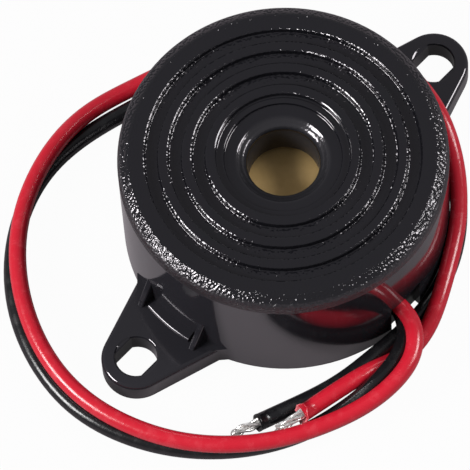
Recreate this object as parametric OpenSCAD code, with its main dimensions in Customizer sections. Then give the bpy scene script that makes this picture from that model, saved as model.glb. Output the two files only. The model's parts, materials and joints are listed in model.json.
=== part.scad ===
// Round piezo buzzer with two slotted mounting ears and two flying leads, in millimetres.
// Origin at the bottom centre of the round body, +Z up, ears on the X axis, leads out at -Y.

/* [Housing] */
// Outer diameter of the round body
body_d = 30; // [26:0.5:40]
// Height of the body
body_h = 14.2; // [13.8:0.2:20]
// Thickness of the side wall at its open lower end
wall_t = 0.9; // [0.8:0.1:1.4]
// Thickness of the top plate
top_t = 1.8; // [1.7:0.1:2.4]
// Radius of the rounded top rim
rim_r = 0.9; // [0.4:0.1:1.2]
// Width of the plain outer land on the top, rim included
rim_land = 2.5; // [2.1:0.1:4]
// Width of the lead notch at the foot of the wall
notch_w = 3.8; // [3.6:0.1:5]
// Height of the lead notch
notch_h = 5; // [4.9:0.1:5.5]

/* [Sound rings and opening] */
// Number of ring grooves in the top
groove_count = 3; // [1:1:3]
// Width of a ring groove
groove_w = 1.18; // [0.8:0.02:1.2]
// Depth of the ring grooves, and of the first step of the well
groove_depth = 0.6; // [0.3:0.05:0.7]
// Radius of the well round the sound hole, at its first step
well_r = 6.08; // [5.9:0.02:6.4]
// Radius of the second step of the well
well_step_r = 5.35; // [5:0.05:5.5]
// Depth of the second step of the well
well_step_h = 0.35; // [0.2:0.05:0.4]
// Fall of the funnel from the second step to the lip of the sound hole
funnel_fall = 0.3; // [0.1:0.05:0.4]
// Radius of the rounded lip of the sound hole
lip_r = 0.8; // [0.4:0.1:1]
// Diameter of the sound hole
hole_d = 6.6; // [4:0.1:7]
// Length of the neck behind the sound hole, from the top of the body
neck_l = 5.6; // [3:0.1:5.8]
// Radius of the rounded edges in the top
edge_r = 0.12; // [0.05:0.01:0.14]
// Radius of the fillets at the foot of the steps
foot_r = 0.15; // [0.05:0.01:0.2]

/* [Ears] */
// Distance from the wall to the centre of an ear slot
ear_reach = 5; // [4.5:0.25:8]
// Thickness of an ear
ear_t = 2.35; // [1.6:0.05:3]
// Width of an ear where it meets the body
ear_root_w = 10.2; // [9:0.1:12]
// Radius of the ear tip
ear_tip_r = 3.2; // [3:0.1:4]
// Radius of the rounded top edge of an ear
ear_edge_r = 0.4; // [0.2:0.05:0.6]
// Length of a slot, between its round ends
slot_l = 3.8; // [3:0.1:4.2]
// Width of a slot, between its flats
slot_w = 3.2; // [2.5:0.1:3.7]
// Chamfer on both rims of a slot
slot_chamfer = 0.1; // [0.05:0.05:0.3]
// Height of the curved pad at the ear root above the ear
pad_rise = 0.45; // [0.2:0.05:1]
// Reach of the pad from the wall
pad_reach = 1; // [0.4:0.1:1.5]
// Half of the angle that a pad spans
pad_half_angle = 9; // [5:0.5:10]
// Thickness of a gusset rib
rib_t = 0.6; // [0.4:0.1:1]
// Height of a gusset rib at the wall
rib_h = 5.5; // [4.5:0.1:6.5]
// Reach of a gusset rib from the wall
rib_reach = 1.55; // [1:0.05:2]
// Distance of a gusset rib from the ear's centre line
rib_y = 3.2; // [2.8:0.05:3.6]
// Radius of the rounded edges along a rib's crest
rib_edge_r = 0.15; // [0.05:0.05:0.15]

/* [Sounder] */
// Thickness of the brass disc
disc_t = 0.3; // [0.2:0.05:0.4]
// Diameter of the ceramic disc
ceramic_d = 20; // [14:0.5:20]
// Thickness of the ceramic disc
ceramic_t = 0.25; // [0.15:0.05:0.3]
// Depth of the air space between the top plate and the disc
front_space = 4.6; // [4.2:0.1:5]
// Width of the ledge that the disc seats on
seat_w = 1.1; // [0.8:0.1:1.4]
// Clearance round the disc
disc_gap = 0.1; // [0.05:0.05:0.3]
// Width of the silicone bead under the edge of the disc
bond_w = 0.9; // [0.5:0.1:1]

/* [Circuit] */
// Thickness of the circuit board
board_t = 0.8; // [0.6:0.1:1]
// Width of the ledge that the board seats on
board_ledge = 0.5; // [0.3:0.1:0.7]
// Clearance round the board
board_gap = 0.1; // [0.05:0.05:0.3]
// Depth of the potting resin under the board
resin_t = 1.9; // [1.5:0.1:2.1]
// Recess of the resin from the foot of the wall
resin_recess = 0.5; // [0.2:0.1:0.5]
// Distance between the legs of an axial part
axial_pitch = 6.4; // [5.6:0.2:7]
// Diameter of the component legs
leg_d = 0.5; // [0.4:0.05:0.6]
// Diameter of the thin wires to the disc
disc_wire_d = 0.6; // [0.4:0.05:0.8]

/* [Leads] */
// Outer diameter of a lead
lead_d = 1.6; // [1.2:0.1:1.6]
// Diameter of a tinned end
tinned_d = 1; // [0.7:0.1:1.1]
// Length of a tinned end
tinned_l = 2.9; // [2:0.1:5]

/* [Hidden] */

$fn = 96;
cut = 1;                 // overshoot of a cutting shape
lead_sides = 8;

// Radii of the housing, from the outside in
body_r = body_d / 2;
skirt_r = body_r - wall_t;
bore_r = skirt_r - board_ledge;
seat_r = bore_r - seat_w;

// Heights of what is stacked in the housing, from the bottom up
board_z = resin_recess + resin_t;
board_top = board_z + board_t;
disc_top = body_h - top_t - front_space;
disc_z = disc_top - disc_t;
ceramic_z = disc_z - ceramic_t;

disc_r = bore_r - disc_gap;
board_r = skirt_r - board_gap;

// Grooves: evenly pitched between the outer land and the well
groove_pitch = (body_r - rim_land - well_r) / groove_count;

// Well: two steps, then a funnel down to the rounded lip of the hole
hole_r = hole_d / 2;
well_floor = body_h - groove_depth;
funnel_top = well_floor - well_step_h;
lip_top = funnel_top - funnel_fall;
neck_z = body_h - neck_l;
neck_wall = 1.1;         // wall of the neck at its free end
neck_root_wall = 2.1;    // and at the top of the body

// Ears: the width at the root is taken at ear_root_x, and the outline runs on to ear_in_x
hole_x = body_r + ear_reach;
ear_root_x = body_r - 0.5;
ear_in_x = body_r - 2.4;
// Direction of the outward normal of an ear's side, which is tangent to the tip
ear_side_a = atan2(-ear_root_w / 2, hole_x - ear_root_x)
           + asin(ear_tip_r / norm([hole_x - ear_root_x, ear_root_w / 2])) + 90;

// Lead exit: the resin in the notch, and the board's cut-back on each side of it
plug_recess = 0.6;
plug_l = 3.4;
plug_y = -(body_r - plug_recess);
plug_in_y = plug_y + plug_l;
notch_side_gap = 0.7;

// Axial parts, each [barrel diameter, end diameter, length, length of a swollen end]
resistor_size = [1.6, 1.9, 3.4, 0.9];
diode_size = [1.8, 1.8, 3.4, 0.8];

// Places of the parts on the board, and their legs
leg_hole_gap = 0.15;
leg_root_l = 0.2;        // length of a leg inside its part
leg_stub_l = 0.5;        // length of a leg under the board
resistor_spots = [[4.2, 6.2], [4.2, 3.2], [4.2, 0.2]];
diode_spot = [-4.5, -3.6];
transistor_spot = [-5.5, 3.5];
transistor_r = 2.3;
transistor_flat = 1.3;
transistor_l = 4.6;
transistor_pitch = 1.27;
transistor_leg_l = 1.5;
transistor_leg_y = transistor_spot[1] - transistor_l / 2 - transistor_leg_l;
leg_spots = concat(
    [for (s = concat(resistor_spots, [diode_spot]), k = [-1, 1]) s + [k * axial_pitch / 2, 0]],
    [for (k = [-1:1]) [transistor_spot[0] + k * transistor_pitch, transistor_leg_y]]);
leg_end_z = board_z - leg_stub_l;

// Solder drops, each [foot radius, height]
leg_drop = [0.6, 0.7];
wire_drop = [0.8, 0.5];

// Thin wires: board end, and the point where each meets the disc
red_wire_spots = [[4.6, -3.4], [2.6, -1.6]];
blue_wire_spots = [[8.2, -4], [7, -2.2]];
black_wire_spots = [[-1.5, -8], [-3, -(bore_r + ceramic_d / 2) / 2 + 0.8]];
wire_foot_l = 1.5;       // upright length at the board
wire_end_l = 1;          // and at the disc
elbow_swell = 1.1;

// Free leads: centre lines from the resin in the notch to the end of the insulation.
// Each leaves at -Y, loops round the ear at -X, passes behind the body against its wall and
// over the root of the other ear, and comes back under itself to its end.
red_route = [
    [-0.7, -14.4, 4.1], [-0.8, -15.6, 4.2], [-1.2, -16.9, 4.2], [-2.1, -18.1, 4.2], [-3.6, -19.1, 4],
    [-5.5, -19.5, 3.9], [-7.7, -19.4, 3.5], [-10.2, -18.7, 2.8], [-13, -17.5, 2.4], [-16.8, -15.6, 2.4],
    [-20.4, -12.7, 2.5], [-23.4, -9, 2.5], [-25.3, -4.8, 2.4], [-26.3, -0.3, 2.3], [-26.1, 4.4, 2.3],
    [-24.4, 9.3, 2.3], [-21.5, 13.7, 2.4], [-17.8, 17.1, 2.5], [-13.4, 19.3, 2.5], [-8.8, 20.4, 2.4],
    [-4.4, 20.5, 1.6], [-0.2, 19.4, 0.9], [3.7, 18.1, 0.9], [7.5, 15.9, 1.7], [10.3, 13, 3.3],
    [12.7, 9.9, 5.4], [14.7, 6.3, 7.2], [15.8, 2.2, 7.5], [15.8, -2.2, 7.5], [14.7, -6.3, 7.2],
    [12.6, -9.9, 5.3], [9.6, -12.8, 3.1], [6.2, -14.7, 2.5], [3.2, -16.3, 2.4], [0.6, -17.4, 1.6],
    [-1.9, -17.7, 0.9], [-4.2, -17.3, 1.1], [-6.9, -16.4, 2.2], [-10.5, -15.7, 2.3], [-13.8, -14.9, 2]];
black_route = [
    [-0.4, -14.4, 2.4], [-0.9, -15.6, 2.5], [-2, -16.8, 2.7], [-3.5, -17.6, 2.8], [-5.3, -18, 2.9],
    [-7.2, -18, 2.7], [-9, -17.7, 1.9], [-11.4, -17, 1], [-14.6, -16.1, 0.8], [-18.2, -14.2, 0.8],
    [-21.6, -11.3, 0.8], [-24.5, -7.5, 0.8], [-26.5, -2.9, 0.8], [-27.2, 1.9, 0.8], [-26.2, 7, 0.8],
    [-23.9, 11.8, 0.8], [-20.2, 15.9, 0.8], [-15.7, 18.6, 0.8], [-10.9, 19.8, 0.8], [-6.2, 19.3, 0.8],
    [-2, 18.1, 0.8], [1.8, 16.9, 0.8], [5.4, 15.2, 0.8], [8.6, 13.4, 1], [11.2, 11.3, 2],
    [13.4, 8.6, 3.9], [15.1, 5.4, 5.6], [15.9, 1.5, 5.8], [15.6, -3.1, 5.8], [14.3, -7, 4.9],
    [12.4, -9.9, 2.9], [9.9, -12.4, 1.1], [6.5, -14.5, 0.8], [2.9, -15.6, 0.8], [-1, -15.9, 0.8],
    [-4.8, -15.5, 0.8], [-8, -15.2, 0.8], [-11.2, -14.4, 0.8], [-14.2, -13.2, 0.8], [-16.8, -12.2, 0.8]];

// ---- Housing: one black moulding, open below ----

// What a round step removes from the half-section: all that is inside radius r and above
// top - depth, with a fillet at the foot of its wall and a rounded upper edge
module step_cut(r, top, depth) {
    translate([0, top - depth]) {
        square([r - foot_r, depth + cut]);
        translate([0, foot_r]) square([r, depth + cut - foot_r]);
        translate([r - foot_r, foot_r]) circle(foot_r);
    }
    edge_cut(r, top, edge_r);
}

// Rounds the edge at radius r and height top, on the side away from the axis
module edge_cut(r, top, round_r) {
    difference() {
        translate([r - round_r, top - round_r]) square([2 * round_r, round_r + cut]);
        translate([r + round_r, top - round_r]) circle(round_r);
    }
}

// One ring groove in the half-section: a step cut that a rounded land closes on the inside
module groove_cut(r_out) {
    r_in = r_out - groove_w;
    difference() {
        step_cut(r_out, body_h, groove_depth);
        square([r_in, body_h - edge_r]);
        square([r_in - edge_r, body_h + 2 * cut]);
        translate([r_in - edge_r, body_h - edge_r]) circle(edge_r);
        difference() {
            translate([r_in - edge_r, body_h - groove_depth - cut]) square([edge_r + foot_r, cut + foot_r]);
            translate([r_in + foot_r, body_h - groove_depth + foot_r]) circle(foot_r);
        }
    }
}

// Half-section of the cup: wall with its two inner ledges, top plate, rounded rim and neck
module cup_section() {
    difference() {
        union() {
            square([body_r, body_h - rim_r]);
            square([body_r - rim_r, body_h]);
            translate([body_r - rim_r, body_h - rim_r]) circle(rim_r);
        }
        translate([0, -cut]) square([skirt_r, board_top + cut]);
        translate([0, -cut]) square([bore_r, disc_top + cut]);
        difference() {
            translate([0, -cut]) square([seat_r, body_h - top_t + cut]);
            polygon([[0, neck_z], [hole_r + neck_wall, neck_z], [hole_r + neck_root_wall, body_h],
                     [0, body_h]]);
        }
        for (i = [0:groove_count - 1]) groove_cut(body_r - rim_land - i * groove_pitch);
        step_cut(well_r, body_h, groove_depth);
        step_cut(well_step_r, well_floor, well_step_h);
        polygon([[0, well_floor], [well_step_r - foot_r, funnel_top], [hole_r + lip_r, lip_top],
                 [0, lip_top]]);
        edge_cut(hole_r, lip_top, lip_r);
        square([hole_r, body_h]);
    }
}

// Section of an ear from the line through its slot out to its side, with the rounded upper edge
module ear_section() {
    square([ear_tip_r, ear_t - ear_edge_r]);
    square([ear_tip_r - ear_edge_r, ear_t]);
    translate([ear_tip_r - ear_edge_r, ear_t - ear_edge_r]) circle(ear_edge_r);
}

// Tapered body of an ear: a round tip, and two sides that run from it to the body
module ear_blank() {
    run_l = (hole_x - ear_in_x) / sin(ear_side_a);
    in_y = (hole_x - ear_in_x) * ear_root_w / 2 / (hole_x - ear_root_x);
    translate([hole_x, 0, 0]) rotate_extrude() ear_section();
    for (k = [0, 1]) mirror([0, k, 0]) translate([hole_x, 0, 0])
        rotate([90, 0, ear_side_a]) mirror([0, 0, 1]) linear_extrude(run_l) ear_section();
    linear_extrude(ear_t) polygon([[hole_x, 0], [ear_in_x, in_y], [ear_in_x, -in_y]]);
}

// A round-ended slot with flats, drawn larger by grow
module slot_outline(grow) {
    intersection() {
        circle(slot_l / 2 + grow);
        square([slot_l + 4 * grow, slot_w + 2 * grow], center = true);
    }
}

// Slot with a chamfer on its upper and lower rims
module slot_cut() {
    translate([0, 0, -cut]) linear_extrude(ear_t + 2 * cut) slot_outline(0);
    for (side = [0, 1]) translate([0, 0, side * ear_t]) mirror([0, 0, side]) intersection() {
        translate([0, 0, -slot_chamfer])
            cylinder(r1 = slot_l / 2 + 2 * slot_chamfer, r2 = slot_l / 2, h = 2 * slot_chamfer);
        rotate([90, 0, 90]) linear_extrude(2 * slot_l, center = true)
            polygon([[-slot_w / 2 - 2 * slot_chamfer, -slot_chamfer],
                     [slot_w / 2 + 2 * slot_chamfer, -slot_chamfer],
                     [slot_w / 2, slot_chamfer], [-slot_w / 2, slot_chamfer]]);
    }
}

// One ear: its tapered body with the slot, root pad and two gusset ribs
module ear() {
    difference() {
        union() {
            ear_blank();
            ear_pad();
            for (k = [0, 1]) mirror([0, k, 0]) gusset_rib();
        }
        translate([hole_x, 0, 0]) slot_cut();
        translate([0, 0, -cut]) cylinder(r = body_r - wall_t / 2, h = body_h);
    }
}

// Curved pad at the ear's root, struck from the body's centre
module ear_pad() {
    pad_edge_r = pad_rise / 2;
    rotate_extrude(angle = 2 * pad_half_angle, start = -pad_half_angle) {
        translate([body_r - wall_t, 0]) {
            square([wall_t + pad_reach, ear_t + pad_rise - pad_edge_r]);
            square([wall_t + pad_reach - pad_edge_r, ear_t + pad_rise]);
        }
        translate([body_r + pad_reach - pad_edge_r, ear_t + pad_rise - pad_edge_r]) circle(pad_edge_r);
    }
}

// Triangular rib that leans from the ear up to the wall: its section, which has two rounded
// edges, runs along the crest from just inside the ear to just inside the wall
module gusset_rib() {
    crest_x = sqrt(pow(body_r, 2) - pow(rib_y, 2)) + rib_reach;
    lean = atan(rib_reach / (rib_h - ear_t));
    depth = (rib_reach + wall_t / 2) * cos(lean);
    crest_l = (rib_reach + wall_t / 4) / sin(lean);
    translate([crest_x, rib_y, ear_t]) rotate([0, -lean, 0]) translate([0, 0, -rib_edge_r])
        linear_extrude(crest_l + rib_edge_r) {
            translate([-depth, -rib_t / 2]) square([depth - rib_edge_r, rib_t]);
            translate([-depth, rib_edge_r - rib_t / 2]) square([depth, rib_t - 2 * rib_edge_r]);
            for (k = [-1, 1]) translate([-rib_edge_r, k * (rib_t / 2 - rib_edge_r)]) circle(rib_edge_r);
        }
}

module housing() {
    color("#1b1c1f") difference() {
        union() {
            rotate_extrude() cup_section();
            for (k = [0, 1]) mirror([k, 0, 0]) ear();
        }
        translate([-notch_w / 2, -body_r - cut, -cut]) cube([notch_w, body_r / 2, notch_h + cut]);
    }
}

// ---- Sounder: brass disc with its ceramic, bonded to the upper ledge ----

module brass_disc() {
    color("#b58b3c") translate([0, 0, disc_z]) cylinder(r = disc_r, h = disc_t);
}

module ceramic_disc() {
    color("#d8d4c8") translate([0, 0, ceramic_z]) cylinder(d = ceramic_d, h = ceramic_t);
}

// Bead of silicone under the edge of the disc, hollow-faced
module disc_bond() {
    color("#e6e6e2") rotate_extrude() difference() {
        union() {
            translate([bore_r - bond_w, disc_z - bond_w]) square(bond_w);
            translate([disc_r, disc_z]) square([disc_gap, disc_t]);
        }
        translate([bore_r - bond_w, disc_z - bond_w]) circle(0.8 * bond_w);
    }
}

// ---- Circuit: board against the lower ledge, its parts towards the disc ----

module circuit_board() {
    color("#a8854e") translate([0, 0, board_z]) difference() {
        cylinder(r = board_r, h = board_t);
        translate([-notch_w / 2 - notch_side_gap, -body_r, -cut])
            cube([notch_w + 2 * notch_side_gap, body_r + plug_in_y, board_t + 2 * cut]);
        for (s = leg_spots) translate([s[0], s[1], -cut])
            cylinder(d = leg_d + 2 * leg_hole_gap, h = board_t + 2 * cut);
    }
}

// A bent leg: out of a part at height z, over to the hole at spot and down through the board
module leg(from, spot, z) {
    run = spot - from;
    translate([from[0], from[1], z]) rotate([0, 90, atan2(run[1], run[0])])
        cylinder(d = leg_d, h = norm(run));
    translate([spot[0], spot[1], z]) sphere(d = leg_d);
    translate([spot[0], spot[1], leg_end_z]) cylinder(d = leg_d, h = z - leg_end_z);
}

// Axial part along X at spot: a barrel with swollen ends and two bent legs
module axial_part(spot, size) {
    z = board_top + size[1] / 2;
    translate([spot[0], spot[1], z]) rotate([0, 90, 0]) {
        cylinder(d = size[0], h = size[2], center = true);
        for (k = [-1, 1]) translate([0, 0, k * (size[2] - size[3]) / 2])
            cylinder(d = size[1], h = size[3], center = true);
    }
    for (k = [-1, 1])
        leg(spot + [k * (size[2] / 2 - leg_root_l), 0], spot + [k * axial_pitch / 2, 0], z);
}

module resistors() {
    color("#c9ad7d") for (s = resistor_spots) axial_part(s, resistor_size);
}

module diode() {
    color("#c46a3a") axial_part(diode_spot, diode_size);
}

// Small plastic transistor lying on its flat, its three legs bent down
module transistor() {
    color("#26262a") {
        translate([transistor_spot[0], transistor_spot[1], board_top]) rotate([90, 0, 0])
            linear_extrude(transistor_l, center = true) intersection() {
                translate([0, transistor_flat]) circle(transistor_r);
                translate([-transistor_r, 0]) square([2 * transistor_r, 2 * transistor_r]);
            }
        for (k = [-1:1]) {
            x = transistor_spot[0] + k * transistor_pitch;
            leg([x, transistor_spot[1]], [x, transistor_leg_y], board_top + transistor_flat);
        }
    }
}

// A drop of solder on a face: the cap of a sphere
module solder_cap(drop) {
    r = drop[0];
    h = drop[1];
    ball = (pow(r, 2) + pow(h, 2)) / (2 * h);
    intersection() {
        translate([0, 0, h - ball]) sphere(ball);
        translate([-r, -r, 0]) cube([2 * r, 2 * r, h + cut]);
    }
}

// Solder under the board, one drop round the end of each leg
module leg_solder_caps() {
    for (s = leg_spots) translate([s[0], s[1], board_z]) mirror([0, 0, 1]) solder_cap(leg_drop);
}

module board_solder() {
    color("#c4c6c8") {
        difference() {
            leg_solder_caps();
            for (s = leg_spots) translate([s[0], s[1], leg_end_z]) cylinder(d = leg_d, h = 2 * board_t);
        }
        for (w = [red_wire_spots, blue_wire_spots, black_wire_spots]) difference() {
            translate([w[0][0], w[0][1], board_top]) solder_cap(wire_drop);
            translate([w[0][0], w[0][1], board_top - cut]) cylinder(d = disc_wire_d, h = 3 * cut);
        }
    }
}

// Solder where the thin wires meet the disc: two drops on the ceramic, one on the brass
module disc_solder() {
    color("#c4c6c8") for (w = [[red_wire_spots, ceramic_z], [blue_wire_spots, ceramic_z],
                               [black_wire_spots, disc_z]]) difference() {
        translate([w[0][1][0], w[0][1][1], w[1]]) mirror([0, 0, 1]) solder_cap(wire_drop);
        translate([w[0][1][0], w[0][1][1], w[1] - cut]) cylinder(d = disc_wire_d, h = 2 * cut);
    }
}

// A thin wire from the board at spots[0] to the underside of the disc at spots[1]
module disc_wire(spots, end_z) {
    low = [spots[0][0], spots[0][1], board_top + wire_foot_l];
    high = [spots[1][0], spots[1][1], end_z - wire_end_l];
    slant = high - low;
    elbow_d = elbow_swell * disc_wire_d;
    translate([low[0], low[1], board_top]) cylinder(d = disc_wire_d, h = wire_foot_l);
    translate(low) {
        sphere(d = elbow_d);
        rotate([0, acos(slant[2] / norm(slant)), atan2(slant[1], slant[0])])
            cylinder(d = disc_wire_d, h = norm(slant));
    }
    translate(high) {
        sphere(d = elbow_d);
        cylinder(d = disc_wire_d, h = wire_end_l);
    }
}

module disc_wire_red() { color("#c01822") disc_wire(red_wire_spots, ceramic_z); }
module disc_wire_blue() { color("#2a4f9e") disc_wire(blue_wire_spots, ceramic_z); }
module disc_wire_black() { color("#17171a") disc_wire(black_wire_spots, disc_z); }

// Resin that closes the housing under the board and fills the lead notch
module potting_resin() {
    color("#141416") difference() {
        union() {
            translate([0, 0, resin_recess]) cylinder(r = skirt_r, h = resin_t);
            translate([-notch_w / 2, plug_y, resin_recess])
                cube([notch_w, plug_in_y - plug_y, notch_h - resin_recess]);
        }
        leg_solder_caps();
    }
}

// ---- Leads: plain round cords along their routes ----

function unit(v) = v / norm(v);

// Direction of a route at point i; the first ring faces start
function heading(route, i, start) =
    i == 0 ? start : unit(route[min(i + 1, len(route) - 1)] - route[i - 1]);

// Ring of points round c, square to direction t
function ring(c, t, r) =
    let (across = unit(cross(t, [0, 0, 1])), up = cross(across, t))
    [for (k = [0:lead_sides - 1]) let (a = (k + 0.5) * 360 / lead_sides)
        c + r * (cos(a) * across + sin(a) * up)];

module cord(route, r, start) {
    n = lead_sides;
    rings = [for (i = [0:len(route) - 1]) ring(route[i], heading(route, i, start), r)];
    polyhedron(
        points = [for (one = rings, p = one) p],
        faces = concat(
            [[for (k = [0:n - 1]) n - 1 - k]],
            [for (i = [0:len(route) - 2], k = [0:n - 1])
                [i * n + k, i * n + (k + 1) % n, (i + 1) * n + (k + 1) % n, (i + 1) * n + k]],
            [[for (k = [0:n - 1]) (len(route) - 1) * n + k]]));
}

// Twisted and tinned strands that stick out of the end of a lead
module tinned_end(route) {
    end = route[len(route) - 1];
    way = unit(end - route[len(route) - 2]);
    translate(end) rotate([0, acos(way[2]), atan2(way[1], way[0])]) {
        cylinder(d = tinned_d, h = tinned_l - tinned_d / 2);
        translate([0, 0, tinned_l - tinned_d / 2]) cylinder(d1 = tinned_d, d2 = tinned_d / 2, h = tinned_d / 2);
    }
}

module red_lead() { color("#c8202c") cord(red_route, lead_d / 2, [0, -1, 0]); }
module red_tinned_end() { color("#cfd1d3") tinned_end(red_route); }
module black_lead() { color("#1d1e20") cord(black_route, lead_d / 2, [0, -1, 0]); }
module black_tinned_end() { color("#cfd1d3") tinned_end(black_route); }

housing();
brass_disc();
ceramic_disc();
disc_bond();
circuit_board();
transistor();
resistors();
diode();
board_solder();
disc_solder();
disc_wire_red();
disc_wire_blue();
disc_wire_black();
potting_resin();
red_lead();
red_tinned_end();
black_lead();
black_tinned_end();
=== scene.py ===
# Round black sounder with ring grooves, two slotted ears and two flying leads.
import json
import math
import bpy
import bmesh
from mathutils import Matrix, Vector

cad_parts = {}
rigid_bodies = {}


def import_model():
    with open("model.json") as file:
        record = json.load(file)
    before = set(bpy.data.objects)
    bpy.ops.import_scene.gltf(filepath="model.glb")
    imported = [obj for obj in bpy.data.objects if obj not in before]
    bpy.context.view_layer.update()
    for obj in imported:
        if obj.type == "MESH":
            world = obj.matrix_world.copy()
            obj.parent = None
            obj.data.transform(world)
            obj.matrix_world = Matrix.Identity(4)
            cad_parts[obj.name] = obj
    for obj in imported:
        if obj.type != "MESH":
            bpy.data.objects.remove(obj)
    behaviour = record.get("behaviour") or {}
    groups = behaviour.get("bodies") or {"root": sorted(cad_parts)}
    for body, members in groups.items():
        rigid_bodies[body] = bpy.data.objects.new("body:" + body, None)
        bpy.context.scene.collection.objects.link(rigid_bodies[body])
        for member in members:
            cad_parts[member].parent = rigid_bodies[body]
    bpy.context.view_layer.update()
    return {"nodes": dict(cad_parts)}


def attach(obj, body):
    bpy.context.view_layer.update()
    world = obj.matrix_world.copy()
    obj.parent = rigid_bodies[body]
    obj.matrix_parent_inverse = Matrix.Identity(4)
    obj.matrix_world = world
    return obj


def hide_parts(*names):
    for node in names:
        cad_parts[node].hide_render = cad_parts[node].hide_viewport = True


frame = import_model()

# ---- Camera ----
# A long lens well above the product and to its left front, turned a little so that the far ear
# is at the upper right.
MM = 0.001
lens = bpy.data.cameras.new("camera")
lens.lens, lens.sensor_width = 517.9, 36.0
lens.clip_start, lens.clip_end = 0.01, 10.0
camera = bpy.data.objects.new("camera", lens)
camera.location = Vector((-178.48, -186.37, 566.26)) * MM
camera.rotation_euler = [math.radians(a) for a in (24.327, 1.868, -46.802)]
bpy.context.scene.collection.objects.link(camera)
bpy.context.scene.camera = camera

# ---- Leads ----
# Two stranded leads in extruded PVC, one red and one black, stripped at the free end. They leave
# the resin in the notch, loop round one ear, pass behind the body against its wall and over the
# root of the other ear, and come back to the front under themselves. Sizes are in millimetres.
lead_d = 1.6
lead_bore_r = 0.42
lead_exit_y = -14.4
lead_in_resin = 0.3
body_r = 15
lead_gap = 0.02
red_route = [
    [-0.7, -14.4, 4.1], [-0.8, -15.6, 4.2], [-1.2, -16.9, 4.2], [-2.1, -18.1, 4.2],
    [-3.6, -19.1, 4], [-5.5, -19.5, 3.9], [-7.7, -19.4, 3.5], [-10.2, -18.7, 2.8],
    [-13, -17.5, 2.4], [-16.8, -15.6, 2.4], [-20.4, -12.7, 2.5], [-23.4, -9, 2.5],
    [-25.3, -4.8, 2.4], [-26.3, -0.3, 2.3], [-26.1, 4.4, 2.3], [-24.4, 9.3, 2.3],
    [-21.5, 13.7, 2.4], [-17.8, 17.1, 2.5], [-13.4, 19.3, 2.5], [-8.8, 20.4, 2.4],
    [-4.4, 20.5, 1.6], [-0.2, 19.4, 0.9], [3.7, 18.1, 0.9], [7.5, 15.9, 1.7], [10.3, 13, 3.3],
    [12.7, 9.9, 5.4], [14.7, 6.3, 7.2], [15.8, 2.2, 7.5], [15.8, -2.2, 7.5], [14.7, -6.3, 7.2],
    [12.6, -9.9, 5.3], [9.6, -12.8, 3.1], [6.2, -14.7, 2.5], [3.2, -16.3, 2.4], [0.6, -17.4, 1.6],
    [-1.9, -17.7, 0.9], [-4.2, -17.3, 1.1], [-6.9, -16.4, 2.2], [-10.5, -15.7, 2.3],
    [-13.8, -14.9, 2]]
black_route = [
    [-0.4, -14.4, 2.4], [-0.9, -15.6, 2.5], [-2, -16.8, 2.7], [-3.5, -17.6, 2.8], [-5.3, -18, 2.9],
    [-7.2, -18, 2.7], [-9, -17.7, 1.9], [-11.4, -17, 1], [-14.6, -16.1, 0.8], [-18.2, -14.2, 0.8],
    [-21.6, -11.3, 0.8], [-24.5, -7.5, 0.8], [-26.5, -2.9, 0.8], [-27.2, 1.9, 0.8],
    [-26.2, 7, 0.8], [-23.9, 11.8, 0.8], [-20.2, 15.9, 0.8], [-15.7, 18.6, 0.8],
    [-10.9, 19.8, 0.8], [-6.2, 19.3, 0.8], [-2, 18.1, 0.8], [1.8, 16.9, 0.8], [5.4, 15.2, 0.8],
    [8.6, 13.4, 1], [11.2, 11.3, 2], [13.4, 8.6, 3.9], [15.1, 5.4, 5.6], [15.9, 1.5, 5.8],
    [15.6, -3.1, 5.8], [14.3, -7, 4.9], [12.4, -9.9, 2.9], [9.9, -12.4, 1.1], [6.5, -14.5, 0.8],
    [2.9, -15.6, 0.8], [-1, -15.9, 0.8], [-4.8, -15.5, 0.8], [-8, -15.2, 0.8], [-11.2, -14.4, 0.8],
    [-14.2, -13.2, 0.8], [-16.8, -12.2, 0.8]]


class Value:
    """A socket of a finish. Maths on it adds Math nodes."""

    def __init__(self, finish, socket):
        self.finish, self.socket = finish, socket

    def math(self, operation, *terms):
        return self.finish.node("ShaderNodeMath", {"operation": operation}, dict(enumerate(terms)))

    def __add__(self, other): return self.math("ADD", self, other)
    def __radd__(self, other): return self.math("ADD", other, self)
    def __sub__(self, other): return self.math("SUBTRACT", self, other)
    def __rsub__(self, other): return self.math("SUBTRACT", other, self)
    def __mul__(self, other): return self.math("MULTIPLY", self, other)
    def __rmul__(self, other): return self.math("MULTIPLY", other, self)
    def __truediv__(self, other): return self.math("DIVIDE", self, other)
    def __pow__(self, other): return self.math("POWER", self, other)

    def out(self, name):
        """Another output of the same node."""
        return Value(self.finish, self.socket.node.outputs[name])

    def away(self):
        """How far from 0."""
        return self.math("ABSOLUTE", self)

    def past(self, low, high):
        """How far past low, and no further than high."""
        return self.finish.node("ShaderNodeMapRange", {}, {
            "Value": self, "From Min": low, "From Max": high, "To Max": high - low})

    def cycle(self, length):
        """What is left after whole lengths are taken away."""
        return self.math("MODULO", self, length)

    def rises(self, low, high):
        """0 below low, 1 above high, smooth between them."""
        return self.finish.node("ShaderNodeMapRange", {"interpolation_type": "SMOOTHSTEP"},
                                {"Value": self, "From Min": low, "From Max": high})


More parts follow.
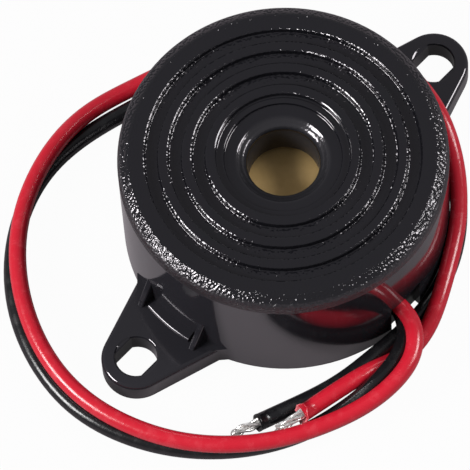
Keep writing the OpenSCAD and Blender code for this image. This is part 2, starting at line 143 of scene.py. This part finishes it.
class Finish:
    """One material. Its surface shader is set by the plain values and sockets given to skin()."""

    def __init__(self, name):
        self.material = bpy.data.materials.new(name)
        self.material.use_nodes = True
        self.tree = self.material.node_tree
        self.tree.nodes.clear()
        self.place = self.node("ShaderNodeTexCoord").out("Object")

    def node(self, kind, settings={}, sockets={}):
        made = self.tree.nodes.new(kind)
        for name, value in settings.items():
            setattr(made, name, value)
        for name, value in sockets.items():
            if isinstance(value, Value):
                self.tree.links.new(value.socket, made.inputs[name])
            elif value is not None:
                if made.inputs[name].type == "RGBA" and len(value) == 3:
                    value = (*value, 1)
                made.inputs[name].default_value = value
        return Value(self, made.outputs[0]) if made.outputs else None

    def axis(self, letter):
        """A point's X, Y or Z in millimetres."""
        return self.node("ShaderNodeSeparateXYZ", {}, {"Vector": self.place}).out(letter) / MM

    def from_middle(self):
        """A point's distance in millimetres from the upright line through the body's middle."""
        return (self.axis("X") ** 2 + self.axis("Y") ** 2) ** 0.5

    def noise(self, size, detail=2.0, rough=0.5):
        """Cloudy pattern from 0 to 1, its features about size millimetres across."""
        return self.node("ShaderNodeTexNoise", {}, {
            "Vector": self.place, "Scale": 1 / (size * MM), "Detail": detail, "Roughness": rough})

    def mix(self, share, first, second):
        """A colour between first and second."""
        made = self.node("ShaderNodeMix", {"data_type": "RGBA"},
                         {"Factor": share, 6: first, 7: second})
        return made.out(2)

    def bump(self, height, depth, under=None):
        """Relief of depth millimetres."""
        return self.node("ShaderNodeBump", {}, {"Height": height, "Strength": 1.0,
                                                "Distance": depth * MM, "Normal": under})

    def skin(self, **sockets):
        shader = self.node("ShaderNodeBsdfPrincipled", {},
                           {name.replace("_", " "): value for name, value in sockets.items()})
        self.node("ShaderNodeOutputMaterial", {}, {"Surface": shader})
        return self.material


def insulation(name, colour, worn):
    """PVC insulation: smooth and a little uneven in gloss, with faint dull marks from handling."""
    pvc = Finish(name)
    marks = pvc.noise(1.1, 4.0, 0.6).rises(0.45, 0.75)
    waves = pvc.noise(2.6, 1.0) * 0.6 + pvc.noise(0.3, 2.0) * 0.4
    return pvc.skin(Base_Color=pvc.mix(marks, colour, worn), Roughness=0.22 + 0.12 * marks,
                    IOR=1.53, Normal=pvc.bump(waves, 0.03))


def centreline(route):
    """Points along the smooth line that a lead takes, from just inside the resin to its end."""
    route = [[route[0][0], lead_exit_y + lead_in_resin, route[0][2]]] + route
    curve = bpy.data.curves.new("route", "CURVE")
    curve.dimensions = "3D"
    line = curve.splines.new("NURBS")
    line.points.add(len(route) - 1)
    for point, spot in zip(line.points, route):
        point.co = (*(Vector(spot) * MM), 1)
    line.order_u, line.use_endpoint_u, line.resolution_u = 4, True, 6
    holder = bpy.data.objects.new("route", curve)
    points = [v.co.copy() for v in holder.to_mesh().vertices]
    bpy.data.objects.remove(holder)
    bpy.data.curves.remove(curve)
    return points


def tube(name, points, radius, bore, flare, slant, ragged, finish, cut_finish, sides=24):
    """A closed round tube along points. Its far end is torn off at a slant, a little flared,
    and open to a short bore. The torn rings are (place past the end, radius, share of the tear)."""
    rings = []
    ahead = (points[1] - points[0]).normalized()
    side = ahead.cross(Vector((0, 0, 1))).normalized()
    for i, p in enumerate(points):
        way = (points[min(i + 1, len(points) - 1)] - points[max(i - 1, 0)]).normalized()
        side = (side - way * side.dot(way)).normalized()
        rings.append((p, way, side, radius, 0, 0))
    end, way = points[-1], (points[-1] - points[-2]).normalized()
    for out, r, rag in ((0.00, radius + flare, 0.5), (0.08, radius + flare * 1.3, 1.0),
                        (0.09, radius * 0.9 + flare, 1.0), (0.0, radius * 0.78 + flare, 0.9),
                        (-0.12, (radius + bore) / 2, 0.7), (-0.2, bore, 0.3), (-0.5, bore, 0)):
        rings.append((end + way * out * MM, way, side, r, rag * ragged, slant))
    mesh = bmesh.new()
    loops = []
    for p, way, side, r, rag, slope in rings:
        up = way.cross(side)
        loop = []
        for k in range(sides):
            a = 2 * math.pi * k / sides
            tear = rag * (math.sin(3 * a + 1) + 0.6 * math.sin(7 * a + 2) + 0.4 * math.sin(11 * a))
            spoke = math.cos(a) * side + math.sin(a) * up
            loop.append(mesh.verts.new(p + (r + 0.35 * tear * MM) * spoke
                                       + way * (tear * MM - slope * r * spoke.z)))
        loops.append(loop)
    for one, two in zip(loops, loops[1:]):
        for k in range(sides):
            mesh.faces.new((one[k], one[(k + 1) % sides], two[(k + 1) % sides], two[k]))
    cut_bands = 5
    for face in list(mesh.faces)[-cut_bands * sides:]:
        face.material_index = 1
    mesh.faces.new(list(reversed(loops[0])))
    mesh.faces.new(loops[-1])
    bmesh.ops.recalc_face_normals(mesh, faces=mesh.faces)
    data = bpy.data.meshes.new(name)
    mesh.to_mesh(data)
    mesh.free()
    data.shade_smooth()
    data.materials.append(finish)
    data.materials.append(cut_finish)
    piece = bpy.data.objects.new(name, data)
    bpy.context.scene.collection.objects.link(piece)
    return piece


def eased_off_wall(points):
    """The same points, with those past the notch moved out until a round lead clears the wall."""
    clear = (body_r + lead_d / 2 + lead_gap) * MM
    past_notch = next(i for i, p in enumerate(points) if p.xy.length > clear)
    for p in points[past_notch:]:
        if p.xy.length < clear:
            p.xy = p.xy * (clear / p.xy.length)
    return points


red_pvc = insulation("red_pvc", (0.56, 0.012, 0.028), (0.59, 0.026, 0.044))
black_pvc = insulation("black_pvc", (0.007, 0.0068, 0.008), (0.014, 0.014, 0.015))
red_cut = insulation("red_pvc_torn", (0.74, 0.2, 0.22), (0.66, 0.07, 0.09))
black_cut = insulation("black_pvc_cut", (0.035, 0.035, 0.036), (0.02, 0.02, 0.021))
leads = {}
for name, route, finish, cut_finish, flare, slant, ragged in (
        ("red", red_route, red_pvc, red_cut, 0.07, 0.6, 0.09),
        ("black", black_route, black_pvc, black_cut, 0.02, 0.35, 0.03)):
    points = eased_off_wall(centreline(route))
    piece = tube(name + "_insulation", points, lead_d / 2 * MM, lead_bore_r * MM, flare * MM, slant,
                 ragged, finish, cut_finish)
    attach(piece, "root")
    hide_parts(name + "_lead")
    leads[name] = (piece, points)

# ---- Tinned ends ----
# Tinned copper strands, six in the red lead and four in the black one, loosely twisted, with a
# drop of solder on the tip. They start inside the bore of the insulation.
tin = Finish("tinned_strands")
dull = tin.noise(0.25, 3.0)
tin_finish = tin.skin(
    Base_Color=tin.mix(dull.rises(0.5, 0.7), (0.93, 0.92, 0.9), (0.62, 0.59, 0.55)),
    Metallic=0.7, Roughness=0.1 + 0.2 * dull, Normal=tin.bump(tin.noise(0.2, 2.0), 0.03))
strand_in_bore = 0.4
strand_steps = 24
strand_sides = 10


class Weave:
    """A Geometry Nodes tree: socket() adds a named input, node() any node, by type, settings
    and socket values."""

    def __init__(self, name):
        self.tree = bpy.data.node_groups.new(name, "GeometryNodeTree")
        self.tree.interface.new_socket("Geometry", in_out="OUTPUT",
                                       socket_type="NodeSocketGeometry")
        self.given = self.tree.nodes.new("NodeGroupInput")
        self.ids = {}

    def socket(self, name, kind, value):
        made = self.tree.interface.new_socket(name, in_out="INPUT", socket_type="NodeSocket" + kind)
        made.default_value = value
        self.ids[name] = made.identifier
        return self.given.outputs[name]

    def node(self, kind, settings={}, sockets={}):
        made = self.tree.nodes.new(kind)
        for name, value in settings.items():
            setattr(made, name, value)
        for name, value in sockets.items():
            if isinstance(value, bpy.types.NodeSocket):
                self.tree.links.new(value, made.inputs[name])
            else:
                made.inputs[name].default_value = value
        return made

    def math(self, operation, *terms):
        made = self.node("ShaderNodeMath", {"operation": operation}, dict(enumerate(terms)))
        return made.outputs[0]


strands = Weave("twisted_strands")
count = strands.socket("Strands", "Int", 5)
length = strands.socket("Length", "Float", 2.9 * MM)
strand_d = strands.socket("Strand diameter", "Float", 0.3 * MM)
bundle_r = strands.socket("Bundle radius", "Float", 0.33 * MM)
turns = strands.socket("Turns", "Float", 0.8)
drop_d = strands.socket("Drop diameter", "Float", 0.6 * MM)
loose = strands.socket("Looseness", "Float", 0.1 * MM)
seed = strands.socket("Seed", "Float", 1.0)
ring = strands.node("GeometryNodeMeshCircle", {}, {"Vertices": count, "Radius": bundle_r})
middle = strands.node("GeometryNodePoints", {}, {"Count": 1})
spots = strands.node("GeometryNodeMeshToPoints", {}, {"Mesh": ring.outputs[0]})
all_spots = strands.node("GeometryNodeJoinGeometry")
strands.tree.links.new(spots.outputs[0], all_spots.inputs[0])
strands.tree.links.new(middle.outputs[0], all_spots.inputs[0])
top = strands.node("ShaderNodeCombineXYZ", {}, {"Z": length})
line = strands.node("GeometryNodeCurvePrimitiveLine", {}, {"End": top.outputs[0]})
fine = strands.node("GeometryNodeResampleCurve", {}, {"Curve": line.outputs[0],
                                                     "Count": strand_steps})
laid = strands.node("GeometryNodeInstanceOnPoints", {}, {"Points": all_spots.outputs[0],
                                                        "Instance": fine.outputs[0]})
real = strands.node("GeometryNodeRealizeInstances", {}, {"Geometry": laid.outputs[0]})
spot = strands.node("GeometryNodeInputPosition").outputs[0]
parts = strands.node("ShaderNodeSeparateXYZ", {}, {"Vector": spot})
along = strands.math("DIVIDE", parts.outputs["Z"], length)
angle = strands.math("MULTIPLY", along, strands.math("MULTIPLY", turns, 2 * math.pi))
twisted = strands.node("ShaderNodeVectorRotate", {"rotation_type": "Z_AXIS"},
                       {"Vector": spot, "Angle": angle})
wander = strands.node("ShaderNodeTexNoise", {"noise_dimensions": "4D"},
                      {"Vector": spot, "W": seed, "Scale": 900.0, "Detail": 1.0})
centred = strands.node("ShaderNodeVectorMath", {"operation": "SUBTRACT"},
                       {0: wander.outputs["Color"], 1: (0.5, 0.5, 0.5)})
grows = strands.math("MULTIPLY", along, strands.math("MULTIPLY", loose, 2.0))
shift = strands.node("ShaderNodeVectorMath", {"operation": "SCALE"},
                     {0: centred.outputs[0], "Scale": grows})
moved = strands.node("GeometryNodeSetPosition", {}, {"Geometry": real.outputs[0],
                                                    "Position": twisted.outputs[0],
                                                    "Offset": shift.outputs[0]})
profile = strands.node("GeometryNodeCurvePrimitiveCircle", {},
                       {"Resolution": strand_sides,
                        "Radius": strands.math("DIVIDE", strand_d, 2.0)})
wires = strands.node("GeometryNodeCurveToMesh", {}, {"Curve": moved.outputs[0],
                                                    "Profile Curve": profile.outputs[0],
                                                    "Fill Caps": True})
drop = strands.node("GeometryNodeMeshIcoSphere", {},
                    {"Radius": strands.math("DIVIDE", drop_d, 2.0), "Subdivisions": 3})
set_drop = strands.node("GeometryNodeTransform", {}, {"Geometry": drop.outputs[0],
                                                     "Translation": top.outputs[0],
                                                     "Scale": (1.0, 0.8, 1.1)})
joined = strands.node("GeometryNodeJoinGeometry")
strands.tree.links.new(wires.outputs[0], joined.inputs[0])
strands.tree.links.new(set_drop.outputs[0], joined.inputs[0])
smooth = strands.node("GeometryNodeSetShadeSmooth", {}, {0: joined.outputs[0]})
solid = strands.node("GeometryNodeRealizeInstances", {}, {0: smooth.outputs[0]})
painted = strands.node("GeometryNodeSetMaterial", {}, {"Geometry": solid.outputs[0],
                                                      "Material": tin_finish})
strands.tree.links.new(painted.outputs[0], strands.tree.nodes.new("NodeGroupOutput").inputs[0])

for name, bare_l, sizes in (
        ("red", 2.9, {"Strands": 5, "Turns": 0.5, "Looseness": 0.5 * MM, "Seed": 3.0,
                      "Drop diameter": 0.3 * MM}),
        ("black", 2.35, {"Strands": 3, "Turns": 0.6, "Looseness": 0.25 * MM, "Seed": 8.0,
                         "Drop diameter": 0.82 * MM})):
    lead, points = leads[name]
    end, way = points[-1], (points[-1] - points[-2]).normalized()
    maker = bpy.data.objects.new("maker", bpy.data.meshes.new("maker"))
    bpy.context.scene.collection.objects.link(maker)
    modifier = maker.modifiers.new("strands", "NODES")
    modifier.node_group = strands.tree
    for size, value in {"Length": (bare_l + strand_in_bore) * MM, **sizes}.items():
        modifier[strands.ids[size]] = value
    bpy.context.view_layer.update()
    evaluated = maker.evaluated_get(bpy.context.evaluated_depsgraph_get())
    mesh = bpy.data.meshes.new_from_object(evaluated)
    maker.modifiers.remove(modifier)
    bpy.data.objects.remove(maker)
    mesh.transform(Matrix.Translation(end - way * strand_in_bore * MM)
                   @ way.to_track_quat("Z", "Y").to_matrix().to_4x4())
    piece = bpy.data.objects.new(name + "_strands", mesh)
    bpy.context.scene.collection.objects.link(piece)
    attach(piece, "root")
    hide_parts(name + "_tinned_end")

# ---- Housing ----
# One moulding in black ABS, open below. The mould is spark-eroded on the top, the grooves and the
# rim, and polished on the wall and the ears. The rim, the lip and the edges of the lands and of
# the slots are a little softened, and the lip is duller than the top round it. The lip is painted
# paler than the top as a painted glow of soft light, and the wall and the ears are painted lighter
# than the top as a painted reflection of the room.
first_land_r = 6.56
land_pitch = 2.14
slot_x = 20
soft_slope = 0.62
# Painted reflection: the wall and the ears are given a lighter black than the top and the well, for
# the room that their glossy faces reflect.
wall_black_with_painted_reflection = (0.016, 0.0155, 0.019)
top_colour = (0.0062, 0.0062, 0.008)
# Painted glow: the lip is given a paler black than the top, for the soft light round the funnel.
lip_black_with_painted_glow = (0.02, 0.0195, 0.022)
abs_plastic = Finish("black_abs")
out = abs_plastic.from_middle()
height = abs_plastic.axis("Z")
top = height.rises(12.5, 12.7)
well = 1 - out.rises(6.3, 6.4)
bore = (1 - out.rises(3.5, 3.9)) * (1 - height.rises(11.9, 12.3))
lip = (1 - out.rises(3.9, 4.5)) * height.rises(12.2, 12.6)
under_rim = out.rises(14.6, 14.8) * height.rises(12.3, 12.5)
upper = top.math("MAXIMUM", top, well)
from_slot = ((abs_plastic.axis("X").away() - slot_x) ** 2 + abs_plastic.axis("Y") ** 2) ** 0.5
over_lands = out.past(first_land_r - land_pitch / 2, first_land_r + 3 * land_pitch)
from_land = (over_lands.cycle(land_pitch) - land_pitch / 2).away()
soft_lands = from_land.past(0.34, 0.43) * 0.6 - from_land.past(0.36, 0.43) ** 2 * 4.2
soft_rim = (out.past(13.95, 14.6) - out.past(14.15, 14.6) ** 2) * soft_slope
soft_lip = (1 - out.rises(3.65, 4.3)) * 0.26
soft_slots = from_slot.past(1.9, 2.05) * -soft_slope
softened = soft_lands + soft_rim + soft_lip + soft_slots
grainy_lands = (0.2 + 0.25 * from_land.rises(0.2, 0.35)) * out.rises(6.5, 6.8)
grainy_lip = 0.12 * (1 - out.rises(4.0, 4.4))
grainy_rim = 0.6 * out.rises(13.2, 13.9)
grain = abs_plastic.noise(0.24, 0.5, 0.5) * 0.85 + abs_plastic.noise(0.7, 1.0) * 0.15 - 0.5
relief = abs_plastic.bump(
    grain * upper * (grainy_lands + grainy_lip + grainy_rim) * 0.2 - softened, 1.0)
sink = abs_plastic.bump(abs_plastic.noise(6.0, 1.0), 0.02, relief)
smears = abs_plastic.noise(3.0, 3.0)
# The colour carries painted light: a lighter wall and ears as a painted reflection, and a paler lip
# as a painted glow.
abs_finish = abs_plastic.skin(
    Base_Color=abs_plastic.mix(lip, abs_plastic.mix(upper, wall_black_with_painted_reflection, top_colour), lip_black_with_painted_glow),
    Roughness=0.06 - 0.02 * top + 0.5 * bore + 0.35 * under_rim + 0.1 * lip + 0.04 * smears,
    IOR=1.7, Specular_Tint=(1.0, 0.95, 0.99), Normal=sink)


def dress(node, finish):
    """Give a piece its finish in place of the plain colour that it came with."""
    frame["nodes"][node].data.materials.clear()
    frame["nodes"][node].data.materials.append(finish)


dress("housing", abs_finish)

# ---- Sounder ----
# A disc of rolled brass with a silvered ceramic wafer on its back, bonded to the upper ledge with
# a bead of white silicone. The front of the brass shows through the sound hole.
brass = Finish("rolled_brass")
rolled = brass.node("ShaderNodeTexNoise", {}, {
    "Vector": brass.node("ShaderNodeMapping", {}, {
        "Vector": brass.place, "Scale": (4000, 160, 400)}),
    "Scale": 1.0, "Detail": 2.0})
tarnish = brass.noise(2.2, 4.0, 0.6).rises(0.35, 0.75)
brass_finish = brass.skin(
    Base_Color=brass.mix(tarnish, (0.88, 0.62, 0.27), (0.8, 0.55, 0.23)), Metallic=0.7,
    Roughness=0.52 + 0.06 * tarnish + 0.05 * rolled, Normal=brass.bump(rolled, 0.002))

silver = Finish("silvered_ceramic")
printed = 1 - silver.from_middle().rises(9.3, 9.4)
cloudy = silver.noise(1.4, 4.0, 0.6)
silvered = silver.mix(cloudy.rises(0.4, 0.7), (0.78, 0.77, 0.74), (0.6, 0.58, 0.54))
silver_finish = silver.skin(
    Base_Color=silver.mix(printed, (0.72, 0.7, 0.63), silvered), Metallic=0.9 * printed,
    Roughness=0.45 + 0.2 * cloudy, Normal=silver.bump(silver.noise(0.08, 2.0), 0.004))

silicone = Finish("silicone_bead")
lumps = silicone.noise(1.6, 2.0)
silicone_finish = silicone.skin(
    Base_Color=silicone.mix(
        silicone.noise(0.7, 3.0).rises(0.4, 0.8), (0.74, 0.74, 0.71), (0.62, 0.6, 0.54)),
    Roughness=0.32 + 0.15 * lumps, Subsurface_Weight=0.2, Subsurface_Scale=0.4 * MM,
    Subsurface_Radius=(1.0, 0.9, 0.8), Normal=silicone.bump(lumps, 0.12))

dress("brass_disc", brass_finish)
dress("ceramic_disc", silver_finish)
dress("disc_bond", silicone_finish)

# ---- Circuit ----
# A round board of brown paper laminate with three resistors, a glass diode and a small
# half-round transistor, all soldered below. Thin wires run from it to the two sides of the disc.
laminate = Finish("paper_laminate")
fibres = laminate.node("ShaderNodeTexNoise", {}, {
    "Vector": laminate.node("ShaderNodeMapping", {}, {
        "Vector": laminate.place, "Scale": (2600, 500, 900)}),
    "Scale": 1.0, "Detail": 3.0})
laminate_finish = laminate.skin(
    Base_Color=laminate.mix(fibres.rises(0.3, 0.7), (0.36, 0.22, 0.085), (0.47, 0.31, 0.13)),
    Roughness=0.42 + 0.2 * laminate.noise(1.2, 3.0), Coat_Weight=0.15,
    Normal=laminate.bump(fibres, 0.006))


def with_legs(name, colour, worn, centre, reach, axis, bands=()):
    """Finish of a part whose body lies within reach of centre along axis; its legs are tinned.
    Each band is (place from the centre, half width, colour)."""
    part = Finish(name)
    along = part.axis(axis)
    body = 1 - (along - centre).away().rises(reach - 0.02, reach + 0.02)
    specks = part.noise(0.5, 3.0)
    shade = part.mix(specks.rises(0.5, 0.8), colour, worn)
    for place, half, tint in bands:
        off = (along - (centre + place)).away()
        shade = part.mix(1 - off.rises(half - 0.02, half + 0.03), shade, tint)
    return part.skin(Base_Color=part.mix(body, (0.76, 0.76, 0.74), shade), Metallic=1 - body,
                     Roughness=0.26 + 0.1 * specks, Normal=part.bump(part.noise(0.3, 2.0), 0.01))


transistor_finish = with_legs("moulded_epoxy", (0.02, 0.02, 0.022), (0.035, 0.035, 0.037),
                              3.5, 2.3, "Y")
resistor_finish = with_legs("lacquered_resistor", (0.56, 0.4, 0.21), (0.48, 0.33, 0.17),
                            4.2, 1.7, "X",
                            ((-1.15, 0.14, (0.3, 0.02, 0.02)), (-0.6, 0.14, (0.02, 0.02, 0.02)),
                             (-0.05, 0.14, (0.45, 0.13, 0.02)), (1.15, 0.14, (0.45, 0.32, 0.08))))
diode_finish = with_legs("orange_glass", (0.55, 0.16, 0.04), (0.42, 0.11, 0.03), -4.5, 1.7, "X",
                         ((-1.0, 0.25, (0.015, 0.015, 0.016)),))

solder = Finish("solder")
flux = solder.noise(0.5, 3.0).rises(0.5, 0.8)
solder_finish = solder.skin(
    Base_Color=solder.mix(flux, (0.78, 0.79, 0.8), (0.5, 0.47, 0.42)), Metallic=1.0,
    Roughness=0.18 + 0.2 * flux, Normal=solder.bump(solder.noise(0.3, 2.0), 0.015))

blue_pvc = insulation("blue_pvc", (0.02, 0.07, 0.36), (0.05, 0.12, 0.42))

for node, finish in (("circuit_board", laminate_finish), ("transistor", transistor_finish),
                     ("resistors", resistor_finish), ("diode", diode_finish),
                     ("board_solder", solder_finish), ("disc_solder", solder_finish),
                     ("disc_wire_red", red_pvc), ("disc_wire_blue", blue_pvc),
                     ("disc_wire_black", black_pvc)):
    dress(node, finish)

# ---- Resin ----
# Black epoxy poured under the board and into the lead notch, where it grips both leads. It sets
# glossy, a little wavy, with a few pinholes.
resin = Finish("potting_resin")
waves = resin.noise(5.0, 2.0)
cells = resin.node("ShaderNodeTexVoronoi", {}, {"Vector": resin.place, "Scale": 1 / (2.4 * MM)})
pinholes = cells.rises(0.0, 0.12)
resin_finish = resin.skin(
    Base_Color=resin.mix(
        resin.noise(1.5, 3.0).rises(0.45, 0.8), (0.009, 0.009, 0.009), (0.016, 0.015, 0.014)),
    Roughness=0.12 + 0.15 * resin.noise(2.0, 3.0), IOR=1.55,
    Normal=resin.bump(waves, 0.12, resin.bump(pinholes, 0.08)))
dress("potting_resin", resin_finish)

# ---- Floor and light ----
# A sheet of white paper under two square soft lamps, one at the left and one at the right, in a
# dim room. The camera sees the paper and the room as plain white. Sizes are in metres.
floor_half = 3
lamp_side = 0.36
lamp_distance = 0.9
floor_mesh = bpy.data.meshes.new("floor")
floor_mesh.from_pydata([(floor_half * x, floor_half * y, 0)
                        for x, y in ((-1, -1), (1, -1), (1, 1), (-1, 1))], [], [(0, 1, 2, 3)])
floor = bpy.data.objects.new("floor", floor_mesh)
bpy.context.scene.collection.objects.link(floor)
paper = Finish("floor_paper")
path = paper.node("ShaderNodeLightPath")
matt = paper.node("ShaderNodeBsdfDiffuse", {}, {"Color": (0.31, 0.275, 0.297)})
glow = paper.node("ShaderNodeEmission", {}, {"Color": (1, 1, 1), "Strength": 1.0})
seen = (path.out("Is Camera Ray") * 0.97 + path.out("Is Glossy Ray") * 0.08
        + path.out("Is Transmission Ray") * 0.6)
paper.node("ShaderNodeOutputMaterial", {}, {"Surface": paper.node(
    "ShaderNodeMixShader", {}, {0: seen, 1: matt, 2: glow})})
floor_mesh.materials.append(paper.material)

room = bpy.data.worlds.new("room")
bpy.context.scene.world = room
room.use_nodes = True
backdrop = room.node_tree.nodes["Background"]
path = room.node_tree.nodes.new("ShaderNodeLightPath")
shade = room.node_tree.nodes.new("ShaderNodeMix")
shade.data_type = "RGBA"
shade.inputs[6].default_value, shade.inputs[7].default_value = (0.2, 0.2, 0.21, 1), (1, 1, 1, 1)
room.node_tree.links.new(path.outputs["Is Camera Ray"], shade.inputs["Factor"])
room.node_tree.links.new(shade.outputs[2], backdrop.inputs["Color"])

for name, turn, rise, power in (("left_softbox", 152, 36, 9.5), ("right_softbox", -40, 40, 5.0)):
    lamp = bpy.data.lights.new(name, "AREA")
    lamp.shape, lamp.size, lamp.size_y = "RECTANGLE", lamp_side, lamp_side
    lamp.energy = power
    holder = bpy.data.objects.new(name, lamp)
    turn, rise = math.radians(turn), math.radians(rise)
    holder.location = Vector((math.cos(turn) * math.cos(rise), math.sin(turn) * math.cos(rise),
                              math.sin(rise))) * lamp_distance
    holder.rotation_euler = (-holder.location).to_track_quat("-Z", "Y").to_euler()
    bpy.context.scene.collection.objects.link(holder)

bpy.context.scene.view_settings.view_transform = "Standard"
